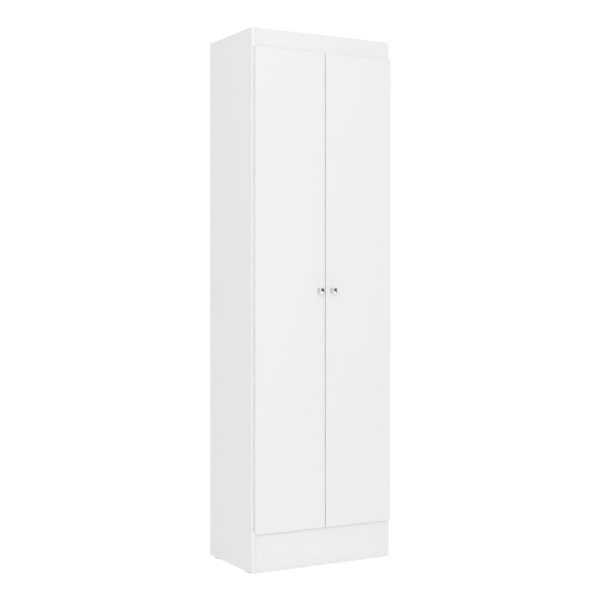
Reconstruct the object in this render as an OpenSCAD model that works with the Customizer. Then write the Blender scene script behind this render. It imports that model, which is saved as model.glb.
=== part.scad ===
// Tall pantry cabinet with two full-length doors, a plinth, a top fascia and five shelves.
// Boards are joined with cam locks and dowels; each door turns on three concealed cup hinges.
// Millimetres, +Z up, front towards -Y. The origin is on the floor at the centre of the bounding box.

/* [Carcass] */
// Overall width across the two side panels
cabinet_w = 540; // [440:1:700]
// Overall height from the floor to the top
cabinet_h = 1800; // [1500:1:2160]
// Depth from the front edges of the side panels to the back of the back panel
carcass_d = 326; // [270:1:420]
// Thickness of the carcass boards and shelves
board_t = 15; // [12.5:0.5:18]
// Thickness of the hardboard back panels
back_t = 3; // [2.5:0.1:4]
// Gap from the edge of the back panels to the outside of the cabinet
back_inset = 2; // [1:0.5:4]
// Height of the plinth board under the bottom panel
plinth_h = 126; // [80:1:160]
// Height of the rail under the back of the bottom panel
rear_rail_h = 70; // [50:1:80]
// Height of the fascia board across the top
fascia_h = 78; // [65:0.5:100]

/* [Doors] */
// Thickness of the doors
door_t = 15; // [12.5:0.5:22]
// Strip of each side panel that shows beside the doors
door_side_reveal = 6; // [3:0.5:7.5]
// Strip of the bottom panel that shows below the doors
door_bottom_reveal = 3; // [2:0.1:4]
// How far the doors lap over the fascia
door_top_lap = 14.5; // [11:0.1:18]
// Gap between the two closed doors
door_gap = 3; // [2:0.1:5]
// Radius of the soft bumpers on the backs of the doors
bumper_r = 4; // [3:0.1:5]

/* [Knobs] */
// Width of a knob's face
knob_w = 16; // [12:0.5:24]
// Height of a knob's face
knob_h = 19.5; // [14:0.5:28]
// How much narrower and lower the foot of a knob is than its face
knob_taper = 1.6; // [0:0.1:4]
// How far a knob stands out from its door
knob_out = 22.5; // [18:0.5:32]
// Thickness of the straight head of a knob
knob_head_t = 6; // [4:0.5:9]
// Width of the bevel round the face of a knob
knob_bevel = 1; // [0.4:0.1:2]
// Distance from the free edge of a door to the centre of its knob
knob_edge = 23.6; // [18:0.1:40]
// Height of a knob's centre above the bottom of its door
knob_up = 799; // [650:1:950]

/* [Shelves] */
// How far the shelves stand back from the front edges of the carcass
shelf_setback = 20; // [12:1:60]
// Gap at each end of an adjustable shelf
shelf_end_gap = 1; // [0.5:0.1:2]
// Radius of the holes for the shelf pins
pin_hole_r = 2.5; // [2:0.1:3]
// Depth of the holes for the shelf pins
pin_hole_depth = 9; // [7:0.5:10]
// Distance between neighbouring holes in a row
hole_pitch = 32; // [25:1:38]
// Distance from the front edge of the carcass to the front row of holes
hole_row_y = 37; // [30:1:45]
// How far a shelf pin stands out of the side panel
pin_out = 8; // [6:0.5:12]

/* [Hinges] */
// Outer radius of a hinge cup
cup_r = 17.5; // [16:0.5:20]
// Depth of a hinge cup in its door
cup_depth = 11.5; // [10.5:0.1:12]
// Wall of a hinge cup
cup_wall = 0.8; // [0.6:0.1:1]
// Board left between a hinge cup and the edge of the door
cup_edge = 3; // [3:0.1:4]
// Distance from the end of a door to its outer hinge
hinge_end = 100; // [80:1:130]
// Distance between the two screws of a cup
cup_screw_pitch = 48; // [46:1:52]
// Distance between the two screws of a mounting plate
plate_screw_pitch = 32; // [30:1:38]
// Radius of a hinge pin
hinge_pin_r = 1.2; // [1:0.1:1.4]

/* [Feet] */
// Height of the plastic glides under the side panels
glide_h = 5; // [3:0.5:8]
// Length of a glide, front to back
glide_l = 32; // [25:1:45]
// Distance from the front or back of the cabinet to the near end of a glide
glide_inset = 28; // [20:1:60]

/* [Hidden] */
$fn = 48;
SIDES = ["left", "right"];
LEVELS = ["lower", "middle", "upper"];
SHELVES = ["lower_shelf_1", "lower_shelf_2", "upper_shelf_1", "upper_shelf_2"];

eps = 0.01;            // overrun of a cut past the face that it opens
fit = 0.1;             // clearance of a fastener in its hole
nail_fit = 0.05;       // clearance of a nail in its hole
fold_clear = 0.25;     // clearance of a hinge arm inside its cup
swing_clear = 0.4;     // clearance of a door's corner past the carcass as it turns
bumper_clear = 0.1;    // air between a bumper and the carcass

// Hinge section, measured from the door's hinge edge (x) and back face (y)
arm_half_w = 5;                                   // half the height of the arm's finger
finger_t = 2;
eye_r = hinge_pin_r + 1;
cup_in_r = cup_r - cup_wall;
cup_x = cup_edge + cup_r;
pivot_x = cup_x - sqrt(pow(cup_in_r, 2) - pow(arm_half_w, 2)) + fold_clear + eye_r;
pivot_y = -(cup_depth - cup_wall - fold_clear - eye_r);
flange_t = 1.2;
flange_r = cup_r + 1.2;
ear_w = 16;
ear_r = 6;
ear_x = cup_x + 2;                                // line of the two screws of a cup
pin_half = arm_half_w + 3;                        // half the length of a hinge pin
cup_screw_r = 1.7;
cup_screw_l = 11;
door_back_gap = norm([pivot_x, pivot_y]) + pivot_y + swing_clear;

// Places across, along and up the cabinet
depth_all = knob_out + door_t + door_back_gap + carcass_d;
y_door_front = -depth_all / 2 + knob_out;
y_door_back = y_door_front + door_t;
y_front = y_door_back + door_back_gap;
y_back = y_front + carcass_d;
y_inside = y_back - back_t;                       // inner face of the back panels
x_out = cabinet_w / 2;
x_in = x_out - board_t;
z_floor_panel = glide_h + plinth_h;
z_inside = z_floor_panel + board_t;
z_top_panel = cabinet_h - board_t;
z_fascia = cabinet_h - fascia_h;
door_z0 = z_floor_panel + door_bottom_reveal;
door_z1 = z_fascia + door_top_lap;
door_x0 = x_out - door_side_reveal;               // hinge edge, measured from the middle
door_w = door_x0 - door_gap / 2;
knob_z = door_z0 + knob_up;
knob_x = door_gap / 2 + knob_edge;

// Five shelves share the height evenly; the third one is fixed
shelf_count = 5;
fixed_index = 3;
bay_h = (z_top_panel - z_inside - shelf_count * board_t) / (shelf_count + 1);
function shelf_z(i) = z_inside + i * bay_h + (i - 1) * board_t;
loose_indices = [1, 2, 4, 5];
z_fixed_mid = shelf_z(fixed_index) + board_t / 2;
pin_r = pin_hole_r - nail_fit;
pin_head_r = 3.6;
pin_drop = 2.4;                                   // from a shelf's underside to its pin's axis
pin_rows_y = [y_front + hole_row_y, y_inside - hole_row_y];
rows_each_way = 2;                                // spare holes above and below each pin

// Hinge heights, from the floor
hinge_z = [door_z0 + hinge_end, shelf_z(fixed_index) - bay_h / 2, door_z1 - hinge_end];

// Hinge arm and plate, continued from the hinge section
overlay = board_t - door_side_reveal;             // inner face of the side panel, from the hinge edge
plate_t = 2.5;
rail_top = overlay + 8;
web_t = 1.5;
web_x = overlay + 11.5;
arm_w = 16;
arm_wall = 1.2;
arm_y0 = door_back_gap + 3;
arm_l = 52;
plate_y = door_back_gap + hole_row_y;             // screw line of the plate
rail_l = 36;
rail_w = 10.4;
wing_w = 14;
wing_l = plate_screw_pitch + 12;
arm_screw_y = plate_y + 8;
adjust_screw_y = plate_y - 24;
plate_screw_l = 12;
plate_screw_r = 2.5;

// Cam locks and dowels, measured from the inner face of the side panel
cam_reach = 34;
cam_r = 7.5;
cam_depth = board_t - 2.7;
bolt_hole_r = 4;
bolt_thread_r = 2.5;
bolt_in_side = 11;
dowel_r = 4;
dowel_in_side = 10;
dowel_in_board = 20;
cam_front_y = y_front + 60;
cam_rear_y = y_inside - 60;
dowel_mid_y = (cam_front_y + cam_rear_y) / 2;
from_below = 0;                                   // cam pressed in from the underside
from_behind = 90;                                 // cam pressed in from the back face
from_front = -90;                                 // cam pressed in from the front face
y_front_board = y_front + board_t / 2;            // middle of the fascia and the plinth board
y_rear_board = y_inside - board_t / 2;            // middle of the rear rail
rear_rail_z = z_floor_panel - rear_rail_h;

function board_cams(z) = [for (y = [cam_front_y, cam_rear_y]) [y, z + board_t / 2, from_below]];
top_cams = board_cams(z_top_panel);
bottom_cams = board_cams(z_floor_panel);
fixed_cams = board_cams(shelf_z(fixed_index));
fascia_cams = [[y_front_board, z_fascia + 0.6 * fascia_h - 4, from_behind]];
plinth_cams = [[y_front_board, glide_h + 0.72 * plinth_h, from_behind]];
rail_cams = [[y_rear_board, rear_rail_z + 0.68 * rear_rail_h, from_front]];
ALL_CAMS = concat(top_cams, bottom_cams, fixed_cams, fascia_cams, plinth_cams, rail_cams);
top_dowels = [[dowel_mid_y, z_top_panel + board_t / 2]];
bottom_dowels = [[dowel_mid_y, z_floor_panel + board_t / 2]];
fixed_dowels = [[dowel_mid_y, z_fixed_mid]];
fascia_dowels = [[y_front_board, z_fascia + 0.25 * fascia_h]];
plinth_dowels = [[y_front_board, glide_h + 0.25 * plinth_h]];
rail_dowels = [[y_rear_board, rear_rail_z + 0.25 * rear_rail_h]];
ALL_DOWELS = concat(top_dowels, bottom_dowels, fixed_dowels, fascia_dowels, plinth_dowels,
    rail_dowels);

// Nails through the back panels, as [x, z]
nail_r = 0.7;
nail_head_r = 2;
nail_head_t = 1;
nail_l = 18;
nail_spacing = 110;
function steps(a, b) = ceil((b - a) / nail_spacing);
function along(a, b) = [for (i = [0 : steps(a, b)]) a + i * (b - a) / steps(a, b)];
nail_margin = 25;
nail_edge_x = x_out - board_t / 2;
lower_back_z = [z_floor_panel, z_fixed_mid - 0.25];
upper_back_z = [z_fixed_mid + 0.25, cabinet_h - back_inset];
shelf_nail_off = board_t / 4;                     // each back panel takes half of the fixed shelf's edge
function side_nails(z) = [for (x = [-nail_edge_x, nail_edge_x],
    h = along(z[0] + nail_margin, z[1] - nail_margin)) [x, h]];
nail_cross_x = x_in - nail_margin - 10;
function cross_nails(z) = [for (x = along(-nail_cross_x, nail_cross_x)) [x, z]];
lower_nails = concat(side_nails(lower_back_z), cross_nails(z_floor_panel + board_t / 2),
    cross_nails(z_fixed_mid - shelf_nail_off));
upper_nails = concat(side_nails(upper_back_z), cross_nails(z_fixed_mid + shelf_nail_off),
    cross_nails(z_top_panel + board_t / 2));
ALL_NAILS = concat(lower_nails, upper_nails);

// Bracket that ties the cabinet to a wall
bracket_w = 44;
bracket_leg = 26;
bracket_drop = 34;
bracket_t = 2;
bracket_hole_r = 2.75;
bracket_hole_z = z_top_panel - 22;
bracket_clear_r = 4;                              // hole in the back panel behind the bracket
bracket_screw_x = 14;
bracket_screw_y = y_inside - 15;
bracket_screw_r = 1.6;

// Glides
glide_w = board_t - 2;
glide_round = 4;
glide_nail_r = 0.9;
glide_nail_l = 18;
glide_nail_head = 3;
glide_recess = 1.6;
glide_y = [y_front + glide_inset + glide_l / 2, y_inside - glide_inset - glide_l / 2];

// Knob screw
knob_screw_r = 2;
knob_screw_in = 12;                               // thread inside the knob
knob_screw_head_r = 4;
knob_screw_head_t = 2.2;

// ---------- helpers ----------

module both_ends() {
    children();
    mirror([1, 0, 0]) children();
}

// Draws its children as they are on the left, or mirrored on the right
module on(side) {
    if (side == "left") children();
    else mirror([1, 0, 0]) children();
}

// Cylinder along +X from the origin
module rod_x(r, l) {
    rotate([0, 90, 0]) cylinder(r = r, h = l);
}

// Cylinder along +Y from the origin
module rod_y(r, l) {
    rotate([-90, 0, 0]) cylinder(r = r, h = l);
}

module board_x(y0, y1, z0, z1, end_gap = 0) {
    translate([-x_in + end_gap, y0, z0]) cube([2 * (x_in - end_gap), y1 - y0, z1 - z0]);
}

// Puts a hinge's section frame at a side's hinge edge and at one of the hinge heights
module at_hinge(side, z) {
    on(side) translate([-door_x0, y_door_back, z]) children();
}

// ---------- joints between boards ----------

// Frame of a cam or dowel at the inner face of the left side panel, +X into the board
module at_joint(spot) {
    translate([-x_in, spot[0], spot[1]]) rotate([len(spot) > 2 ? spot[2] : 0, 0, 0]) children();
}

module cam_cut(spots) {
    both_ends() for (s = spots) at_joint(s) {
        translate([-eps, 0, 0]) rod_x(bolt_hole_r, cam_reach);
        translate([cam_reach, 0, -board_t / 2 - eps]) cylinder(r = cam_r, h = cam_depth + eps);
    }
}

module dowel_cut(spots) {
    both_ends() for (s = spots) at_joint(s)
        translate([-eps, 0, 0]) rod_x(dowel_r, dowel_in_board + 1);
}

module cam_bolt() {
    neck_r = 2;
    head_r = 3.4;
    head_x = cam_reach - 3;
    translate([-bolt_in_side + 0.5, 0, 0]) rotate([0, 90, 0]) rotate_extrude()
        polygon([
            [0, 0], [1.4, 0], [bolt_thread_r - fit, 2],
            [bolt_thread_r - fit, bolt_in_side - 0.5],
            [bolt_hole_r - fit, bolt_in_side - 0.5],
            [bolt_hole_r - fit, bolt_in_side + 2],
            [3, bolt_in_side + 3], [3, bolt_in_side + head_x - 7],
            [neck_r, bolt_in_side + head_x - 6], [neck_r, bolt_in_side + head_x - 1.5],
            [head_r, bolt_in_side + head_x], [head_r, bolt_in_side + head_x + 3.5],
            [neck_r, bolt_in_side + head_x + 5], [0, bolt_in_side + head_x + 5]
        ]);
}

module cam_lock() {
    recess = 0.4;
    body_h = cam_depth - recess - 0.2;
    cross_l = 9;
    cross_w = 1.6;
    cross_depth = 2;
    difference() {
        translate([cam_reach, 0, -board_t / 2 + recess]) cylinder(r = cam_r - fit, h = body_h);
        translate([cam_reach - cam_r - 1, 0, 0]) rod_x(bolt_hole_r - 0.2, cam_r + 4.6);
        for (a = [0, 90])
            translate([cam_reach, 0, -board_t / 2 + recess]) rotate(a)
                cube([cross_l, cross_w, 2 * cross_depth], center = true);
    }
}

module cam_bolts() {
    color("silver") both_ends() for (s = ALL_CAMS) at_joint(s) cam_bolt();
}

module cam_locks() {
    color("silver") both_ends() for (s = ALL_CAMS) at_joint(s) cam_lock();
}

module wood_dowels() {
    r = dowel_r - fit;
    chamfer = 1;
    l = dowel_in_side + dowel_in_board;
    color("burlywood") both_ends() for (s = ALL_DOWELS) at_joint(s)
        translate([-dowel_in_side, 0, 0]) rotate([0, 90, 0]) rotate_extrude()
            polygon([[0, 0], [r - chamfer, 0], [r, chamfer], [r, l - chamfer],
                [r - chamfer, l], [0, l]]);
}

// ---------- carcass ----------

module nail_pilots() {
    for (n = ALL_NAILS)
        translate([n[0], y_inside - nail_l, n[1]]) rod_y(nail_r + nail_fit, nail_l + eps);
}

module side_panel(side) {
    color("white") on(side) difference() {
        translate([-x_out, y_front, glide_h]) cube([board_t, y_inside - y_front, cabinet_h - glide_h]);
        for (s = ALL_CAMS)
            translate([-x_in - bolt_in_side, s[0], s[1]]) rod_x(bolt_thread_r, bolt_in_side + eps);
        for (s = ALL_DOWELS)
            translate([-x_in - dowel_in_side - 0.5, s[0], s[1]])
                rod_x(dowel_r, dowel_in_side + 0.5 + eps);
        for (i = loose_indices, y = pin_rows_y, k = [-rows_each_way : rows_each_way])
            translate([-x_in - pin_hole_depth, y, shelf_z(i) - pin_drop + k * hole_pitch])
                rod_x(pin_hole_r, pin_hole_depth + eps);
        for (z = hinge_z, dz = [-0.5, 0.5] * plate_screw_pitch)
            translate([-x_in - plate_screw_l, y_door_back + plate_y, z + dz])
                rod_x(plate_screw_r, plate_screw_l + eps);
        for (y = glide_y)
            translate([-x_out + board_t / 2, y, glide_h - eps])
                cylinder(r = glide_nail_r + nail_fit, h = glide_nail_l);
        nail_pilots();
    }
}

module top_panel() {
    color("white") difference() {
        board_x(y_front + board_t, y_inside, z_top_panel, cabinet_h);
        cam_cut(top_cams);
        dowel_cut(top_dowels);
        nail_pilots();
        for (x = [-bracket_screw_x, bracket_screw_x])
            translate([x, bracket_screw_y, z_top_panel - eps]) cylinder(r = bracket_screw_r + nail_fit, h = 11);
    }
}

module bottom_panel() {
    color("white") difference() {
        board_x(y_front, y_inside, z_floor_panel, z_inside);
        cam_cut(bottom_cams);
        dowel_cut(bottom_dowels);
        nail_pilots();
    }
}

module fixed_shelf() {
    z = shelf_z(fixed_index);
    color("white") difference() {
        board_x(y_front + shelf_setback, y_inside, z, z + board_t);
        cam_cut(fixed_cams);
        dowel_cut(fixed_dowels);
        nail_pilots();
    }
}

module loose_shelf(i) {
    z = shelf_z(i);
    color("white")
        board_x(y_front + shelf_setback, y_inside - shelf_end_gap, z, z + board_t, shelf_end_gap);
}

module plinth_board() {
    color("white") difference() {
        board_x(y_front, y_front + board_t, glide_h, z_floor_panel);
        cam_cut(plinth_cams);
        dowel_cut(plinth_dowels);
    }
}

module rear_plinth_rail() {
    color("white") difference() {
        board_x(y_inside - board_t, y_inside, rear_rail_z, z_floor_panel);
        cam_cut(rail_cams);
        dowel_cut(rail_dowels);
    }
}

module top_fascia() {
    color("white") difference() {
        board_x(y_front, y_front + board_t, z_fascia, cabinet_h);
        cam_cut(fascia_cams);
        dowel_cut(fascia_dowels);
    }
}

module back_panel(z, nails) {
    w = cabinet_w - 2 * back_inset;
    difference() {
        translate([-w / 2, y_inside, z[0]]) cube([w, back_t, z[1] - z[0]]);
        for (n = nails) {
            translate([n[0], y_inside - eps, n[1]]) rod_y(nail_r + nail_fit, back_t);
            translate([n[0], y_back - nail_head_t, n[1]]) rod_y(nail_head_r + nail_fit, nail_head_t + eps);
        }
    }
}

module lower_back_panel() {
    color("white") back_panel(lower_back_z, lower_nails);
}

module upper_back_panel() {
    color("white") difference() {
        back_panel(upper_back_z, upper_nails);
        translate([0, y_inside - eps, bracket_hole_z]) rod_y(bracket_clear_r, back_t + 2 * eps);
    }
}

module back_panel_nails() {
    color("dimgray") for (n = ALL_NAILS) {
        translate([n[0], y_back - nail_l, n[1]]) rod_y(nail_r, nail_l - nail_head_t);
        translate([n[0], y_back - nail_head_t, n[1]]) rod_y(nail_head_r, nail_head_t);
    }
}

// ---------- feet ----------

module glide(side, end) {
    color("gainsboro") on(side) translate([-x_out + board_t / 2, glide_y[end], 0]) difference() {
        linear_extrude(glide_h) union() {
            square([glide_w, glide_l - 2 * glide_round], center = true);
            square([glide_w - 2 * glide_round, glide_l], center = true);
            for (x = [-1, 1], y = [-1, 1])
                translate([x * (glide_w / 2 - glide_round), y * (glide_l / 2 - glide_round)])
                    circle(r = glide_round);
        }
        translate([0, 0, -eps]) cylinder(r = glide_nail_head + fit, h = glide_recess + eps);
        translate([0, 0, -eps]) cylinder(r = glide_nail_r + nail_fit, h = glide_h + 2 * eps);
    }
}

module glide_nails() {
    color("silver") both_ends() for (y = glide_y) translate([-x_out + board_t / 2, y, 0]) {
        translate([0, 0, 0.6]) cylinder(r = glide_nail_head, h = glide_recess - 0.6);
        translate([0, 0, glide_recess]) cylinder(r = glide_nail_r, h = glide_nail_l);
    }
}

// ---------- shelf pins ----------

module shelf_pin() {
    difference() {
        union() {
            translate([-pin_hole_depth + 0.5, 0, 0]) rod_x(pin_r, pin_hole_depth);
            rod_x(pin_head_r, pin_out);
        }
        translate([-eps, -2 * pin_head_r, pin_drop]) cube([pin_out + 1, 4 * pin_head_r, pin_head_r]);
    }
}

module shelf_pins() {
    color("silver") both_ends() for (i = loose_indices, y = pin_rows_y)
        translate([-x_in, y, shelf_z(i) - pin_drop]) shelf_pin();
}

// ---------- wall bracket ----------

module wall_bracket() {
    color("silver") difference() {
        union() {
            translate([-bracket_w / 2, y_inside - bracket_leg, z_top_panel - bracket_t])
                cube([bracket_w, bracket_leg, bracket_t]);
            translate([-bracket_w / 2, y_inside - bracket_t, z_top_panel - bracket_drop])
                cube([bracket_w, bracket_t, bracket_drop]);
        }
        for (x = [-bracket_screw_x, bracket_screw_x])
            translate([x, bracket_screw_y, z_top_panel - bracket_t - eps])
                cylinder(r = bracket_screw_r + fit, h = bracket_t + 2 * eps);
        translate([0, y_inside - bracket_t - eps, bracket_hole_z]) rod_y(bracket_hole_r, bracket_t + 2 * eps);
    }
}

module wall_bracket_screws() {
    head_r = 3.4;
    head_t = 1.8;
    color("silver") for (x = [-bracket_screw_x, bracket_screw_x])
        translate([x, bracket_screw_y, z_top_panel - bracket_t]) difference() {
            union() {
                translate([0, 0, -head_t]) cylinder(r = head_r, h = head_t);
                cylinder(r = bracket_screw_r, h = 12);
            }
            for (a = [0, 90]) translate([0, 0, -head_t]) rotate(a)
                cube([3.6, 0.8, 2], center = true);
        }
}

// ---------- hinges, in the section frame of a left-hand hinge ----------

module cup_flange() {
    translate([cup_x, 0, 0]) rod_y(flange_r, flange_t);
    translate([cup_x - ear_w / 2 + 2, 0, -cup_screw_pitch / 2]) cube([ear_w, flange_t, cup_screw_pitch]);
    for (z = [-0.5, 0.5] * cup_screw_pitch) {
        translate([cup_x - ear_w / 2 + 2 + ear_r, 0, z]) rod_y(ear_r, flange_t);
        translate([cup_x + ear_w / 2 + 2 - ear_r, 0, z]) rod_y(ear_r, flange_t);
        translate([cup_x - ear_w / 2 + 2 + ear_r, 0, z - ear_r]) cube([ear_w - 2 * ear_r, flange_t, 2 * ear_r]);
    }
}

// Two cheeks inside the cup that hold the ends of the pin, one above the arm and one below
module pin_cheeks() {
    cheek_z = arm_half_w + 0.4;
    cheek_y0 = -cup_depth + cup_wall / 2;
    intersection() {
        translate([cup_x, -cup_depth, 0]) rod_y(cup_in_r + cup_wall / 2, cup_depth);
        for (end = [0, 1]) mirror([0, 0, end])
            translate([pivot_x - cup_r, cheek_y0, cheek_z])
                cube([cup_r + eye_r, pivot_y + eye_r - cheek_y0, pin_half + 1 - cheek_z]);
    }
}

module hinge_cup() {
    color("silver") difference() {
        union() {
            difference() {
                union() {
                    translate([cup_x, -cup_depth, 0]) rod_y(cup_r, cup_depth);
                    cup_flange();
                }
                translate([cup_x, -cup_depth + cup_wall, 0]) rod_y(cup_in_r, cup_depth + flange_t);
            }
            pin_cheeks();
        }
        translate([pivot_x, pivot_y, -pin_half - 0.1])
            cylinder(r = hinge_pin_r + 0.02, h = 2 * (pin_half + 0.1));
        for (z = [-0.5, 0.5] * cup_screw_pitch)
            translate([ear_x, -eps, z]) rod_y(cup_screw_r + fit, flange_t + 2 * eps);
    }
}

module hinge_pin() {
    translate([pivot_x, pivot_y, -pin_half]) cylinder(r = hinge_pin_r, h = 2 * pin_half);
}

module cup_screw() {
    head_r = 3.2;
    head_t = 1.5;
    difference() {
        union() {
            translate([0, flange_t, 0]) rod_y(head_r, head_t);
            translate([0, flange_t - cup_screw_l, 0]) rod_y(cup_screw_r, cup_screw_l);
        }
        for (a = [0, 90]) translate([0, flange_t + head_t, 0]) rotate([0, a, 0])
            cube([3.6, 2, 0.8], center = true);
    }
}

module hinge_arm() {
    rise_y0 = pivot_y - finger_t / 2;
    color("silver") difference() {
        union() {
            translate([pivot_x, pivot_y, -arm_half_w]) cylinder(r = eye_r, h = 2 * arm_half_w);
            translate([pivot_x, rise_y0, -arm_half_w]) cube([web_x + web_t - pivot_x, finger_t, 2 * arm_half_w]);
            translate([web_x, rise_y0, -arm_half_w]) cube([web_t, arm_y0 - rise_y0 + 1, 2 * arm_half_w]);
            translate([web_x, arm_y0, -arm_w / 2]) cube([web_t, arm_l, arm_w]);
            for (z = [-arm_w / 2, arm_w / 2 - arm_wall])
                translate([overlay + plate_t + 0.8, arm_y0, z])
                    cube([web_x - overlay - plate_t - 0.8 + eps, arm_l, arm_wall]);
        }
        translate([pivot_x, pivot_y, -arm_half_w - 1])
            cylinder(r = hinge_pin_r + nail_fit, h = 2 * arm_half_w + 2);
        translate([web_x - 1, arm_screw_y, 0]) rod_x(2.2, web_t + 2);
        translate([web_x - 1, adjust_screw_y, 0]) rod_x(2.2, web_t + 2);
    }
}

module hinge_plate() {
    color("silver") difference() {
        union() {
            translate([overlay, plate_y - wing_w / 2, -wing_l / 2 + wing_w / 2])
                cube([plate_t, wing_w, wing_l - wing_w]);
            for (z = [-1, 1])
                translate([overlay, plate_y, z * (wing_l - wing_w) / 2]) rod_x(wing_w / 2, plate_t);
            translate([overlay, plate_y - rail_l / 2, -rail_w / 2]) cube([rail_top - overlay, rail_l, rail_w]);
        }
        for (z = [-0.5, 0.5] * plate_screw_pitch)
            translate([overlay - eps, plate_y, z]) rod_x(plate_screw_r + fit, plate_t + 2 * eps);
        translate([rail_top - 6, arm_screw_y, 0]) rod_x(1.9, 6 + eps);
    }
}

module plate_screw() {
    head_r = 3.8;
    head_t = 1.6;
    difference() {
        union() {
            translate([overlay + plate_t, 0, 0]) rod_x(head_r, head_t);
            translate([overlay - plate_screw_l + 1, 0, 0])
                rod_x(plate_screw_r - fit, plate_screw_l - 1 + plate_t);
        }
        for (a = [0, 90]) translate([overlay + plate_t + head_t, 0, 0]) rotate([a, 0, 0])
            cube([2, 4.4, 0.9], center = true);
    }
}

module arm_screw(head_r, deep) {
    head_t = 1.6;
    difference() {
        union() {
            translate([web_x + web_t, 0, 0]) rod_x(head_r, head_t);
            translate([web_x + web_t - deep, 0, 0]) rod_x(1.8, deep);
        }
        for (a = [0, 90]) translate([web_x + web_t + head_t, 0, 0]) rotate([a, 0, 0])
            cube([2, 3.8, 0.9], center = true);
    }
}

module hinge_plate_screws() {
    color("silver") for (s = SIDES, z = hinge_z) at_hinge(s, z)
        for (dz = [-0.5, 0.5] * plate_screw_pitch) translate([0, plate_y, dz]) plate_screw();
}

module hinge_arm_screws() {
    color("silver") for (s = SIDES, z = hinge_z) at_hinge(s, z) {
        translate([0, arm_screw_y, 0]) arm_screw(3.6, web_t + web_x - rail_top + 5);
        translate([0, adjust_screw_y, 0]) arm_screw(2.6, web_x + web_t - overlay - 1);
    }
}

module hinge_pins(side) {
    color("silver") for (z = hinge_z) at_hinge(side, z) hinge_pin();
}

module cup_screws(side) {
    color("silver") for (z = hinge_z) at_hinge(side, z)
        for (dz = [-0.5, 0.5] * cup_screw_pitch) translate([ear_x, 0, dz]) cup_screw();
}

// ---------- doors ----------

module door(side) {
    color("white") difference() {
        on(side) translate([-door_x0, y_door_front, door_z0]) cube([door_w, door_t, door_z1 - door_z0]);
        for (z = hinge_z) at_hinge(side, z) {
            translate([cup_x, -cup_depth - 0.2, 0]) rod_y(cup_r + fit, cup_depth + 0.2 + eps);
            for (dz = [-0.5, 0.5] * cup_screw_pitch)
                translate([ear_x, flange_t - cup_screw_l - 0.5, dz]) rod_y(cup_screw_r + nail_fit, cup_screw_l + 1);
        }
        on(side) translate([-knob_x, y_door_front - eps, knob_z]) rod_y(knob_screw_r + 0.2, door_t + 2 * eps);
    }
}

module knob_slab(less, t) {
    cube([knob_w - less, knob_h - less, t], center = true);
}

module knob(side) {
    neck_l = knob_out - knob_head_t;
    color("silver") on(side) translate([-knob_x, y_door_front, knob_z]) rotate([90, 0, 0]) difference() {
        union() {
            hull() {
                translate([0, 0, eps / 2]) knob_slab(knob_taper, eps);
                translate([0, 0, neck_l]) knob_slab(0, eps);
            }
            hull() {
                translate([0, 0, neck_l]) knob_slab(0, eps);
                translate([0, 0, knob_out - knob_bevel]) knob_slab(0, eps);
                translate([0, 0, knob_out - eps / 2]) knob_slab(2 * knob_bevel, eps);
            }
        }
        translate([0, 0, -eps]) cylinder(r = knob_screw_r + nail_fit, h = knob_screw_in + 1);
    }
}

module knob_screw(side) {
    color("silver") on(side) translate([-knob_x, y_door_back, knob_z]) difference() {
        union() {
            rod_y(knob_screw_head_r, knob_screw_head_t);
            translate([0, -door_t - knob_screw_in, 0]) rod_y(knob_screw_r, door_t + knob_screw_in);
        }
        for (a = [0, 90]) translate([0, knob_screw_head_t, 0]) rotate([0, a, 0])
            cube([4.6, 2, 1], center = true);
    }
}

module door_bumpers(side) {
    bumper_x = door_gap / 2 + 3 * bumper_r;
    bumper_t = door_back_gap - bumper_clear;
    heights = [(door_z0 + z_inside) / 2, (z_fascia + door_z1) / 2];
    color("whitesmoke") on(side) for (z = heights)
        translate([-bumper_x, y_door_back, z]) rod_y(bumper_r, bumper_t);
}

// ---------- the cabinet ----------

side_panel("left");  // left_side_panel
side_panel("right");  // right_side_panel
top_panel();
bottom_panel();
fixed_shelf();
for (k = [0 : len(SHELVES) - 1])
    loose_shelf(loose_indices[k]);
plinth_board();
rear_plinth_rail();
top_fascia();
lower_back_panel();
upper_back_panel();
for (s = SIDES) {
    glide(s, 0);
    glide(s, 1);
}
glide_nails();
back_panel_nails();
cam_bolts();
cam_locks();
wood_dowels();
shelf_pins();
wall_bracket();
wall_bracket_screws();
hinge_plate_screws();
hinge_arm_screws();
for (s = SIDES, k = [0 : len(LEVELS) - 1]) {
    at_hinge(s, hinge_z[k]) hinge_arm();
    at_hinge(s, hinge_z[k]) hinge_plate();
    at_hinge(s, hinge_z[k]) hinge_cup();
}
for (s = SIDES) {
    door(s);
    knob(s);
    knob_screw(s);
    hinge_pins(s);
    cup_screws(s);
    door_bumpers(s);
}
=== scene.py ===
# %% [markdown]
# # A tall white pantry cabinet, from its CAD frame to a finished picture
#
# The real object is flat-pack furniture. Its boards are chipboard pressed between two sheets of
# white melamine, and thin plastic bands are glued over the cut edges that show. Concealed hinges
# carry two full-height doors, each with a small metal knob.
#
# The CAD model is loaded first as a fixed frame. Its nodes carry the true sizes, the holes and
# the places of every part. The lesson then gives each part the edges and finish of the real one.

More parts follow.
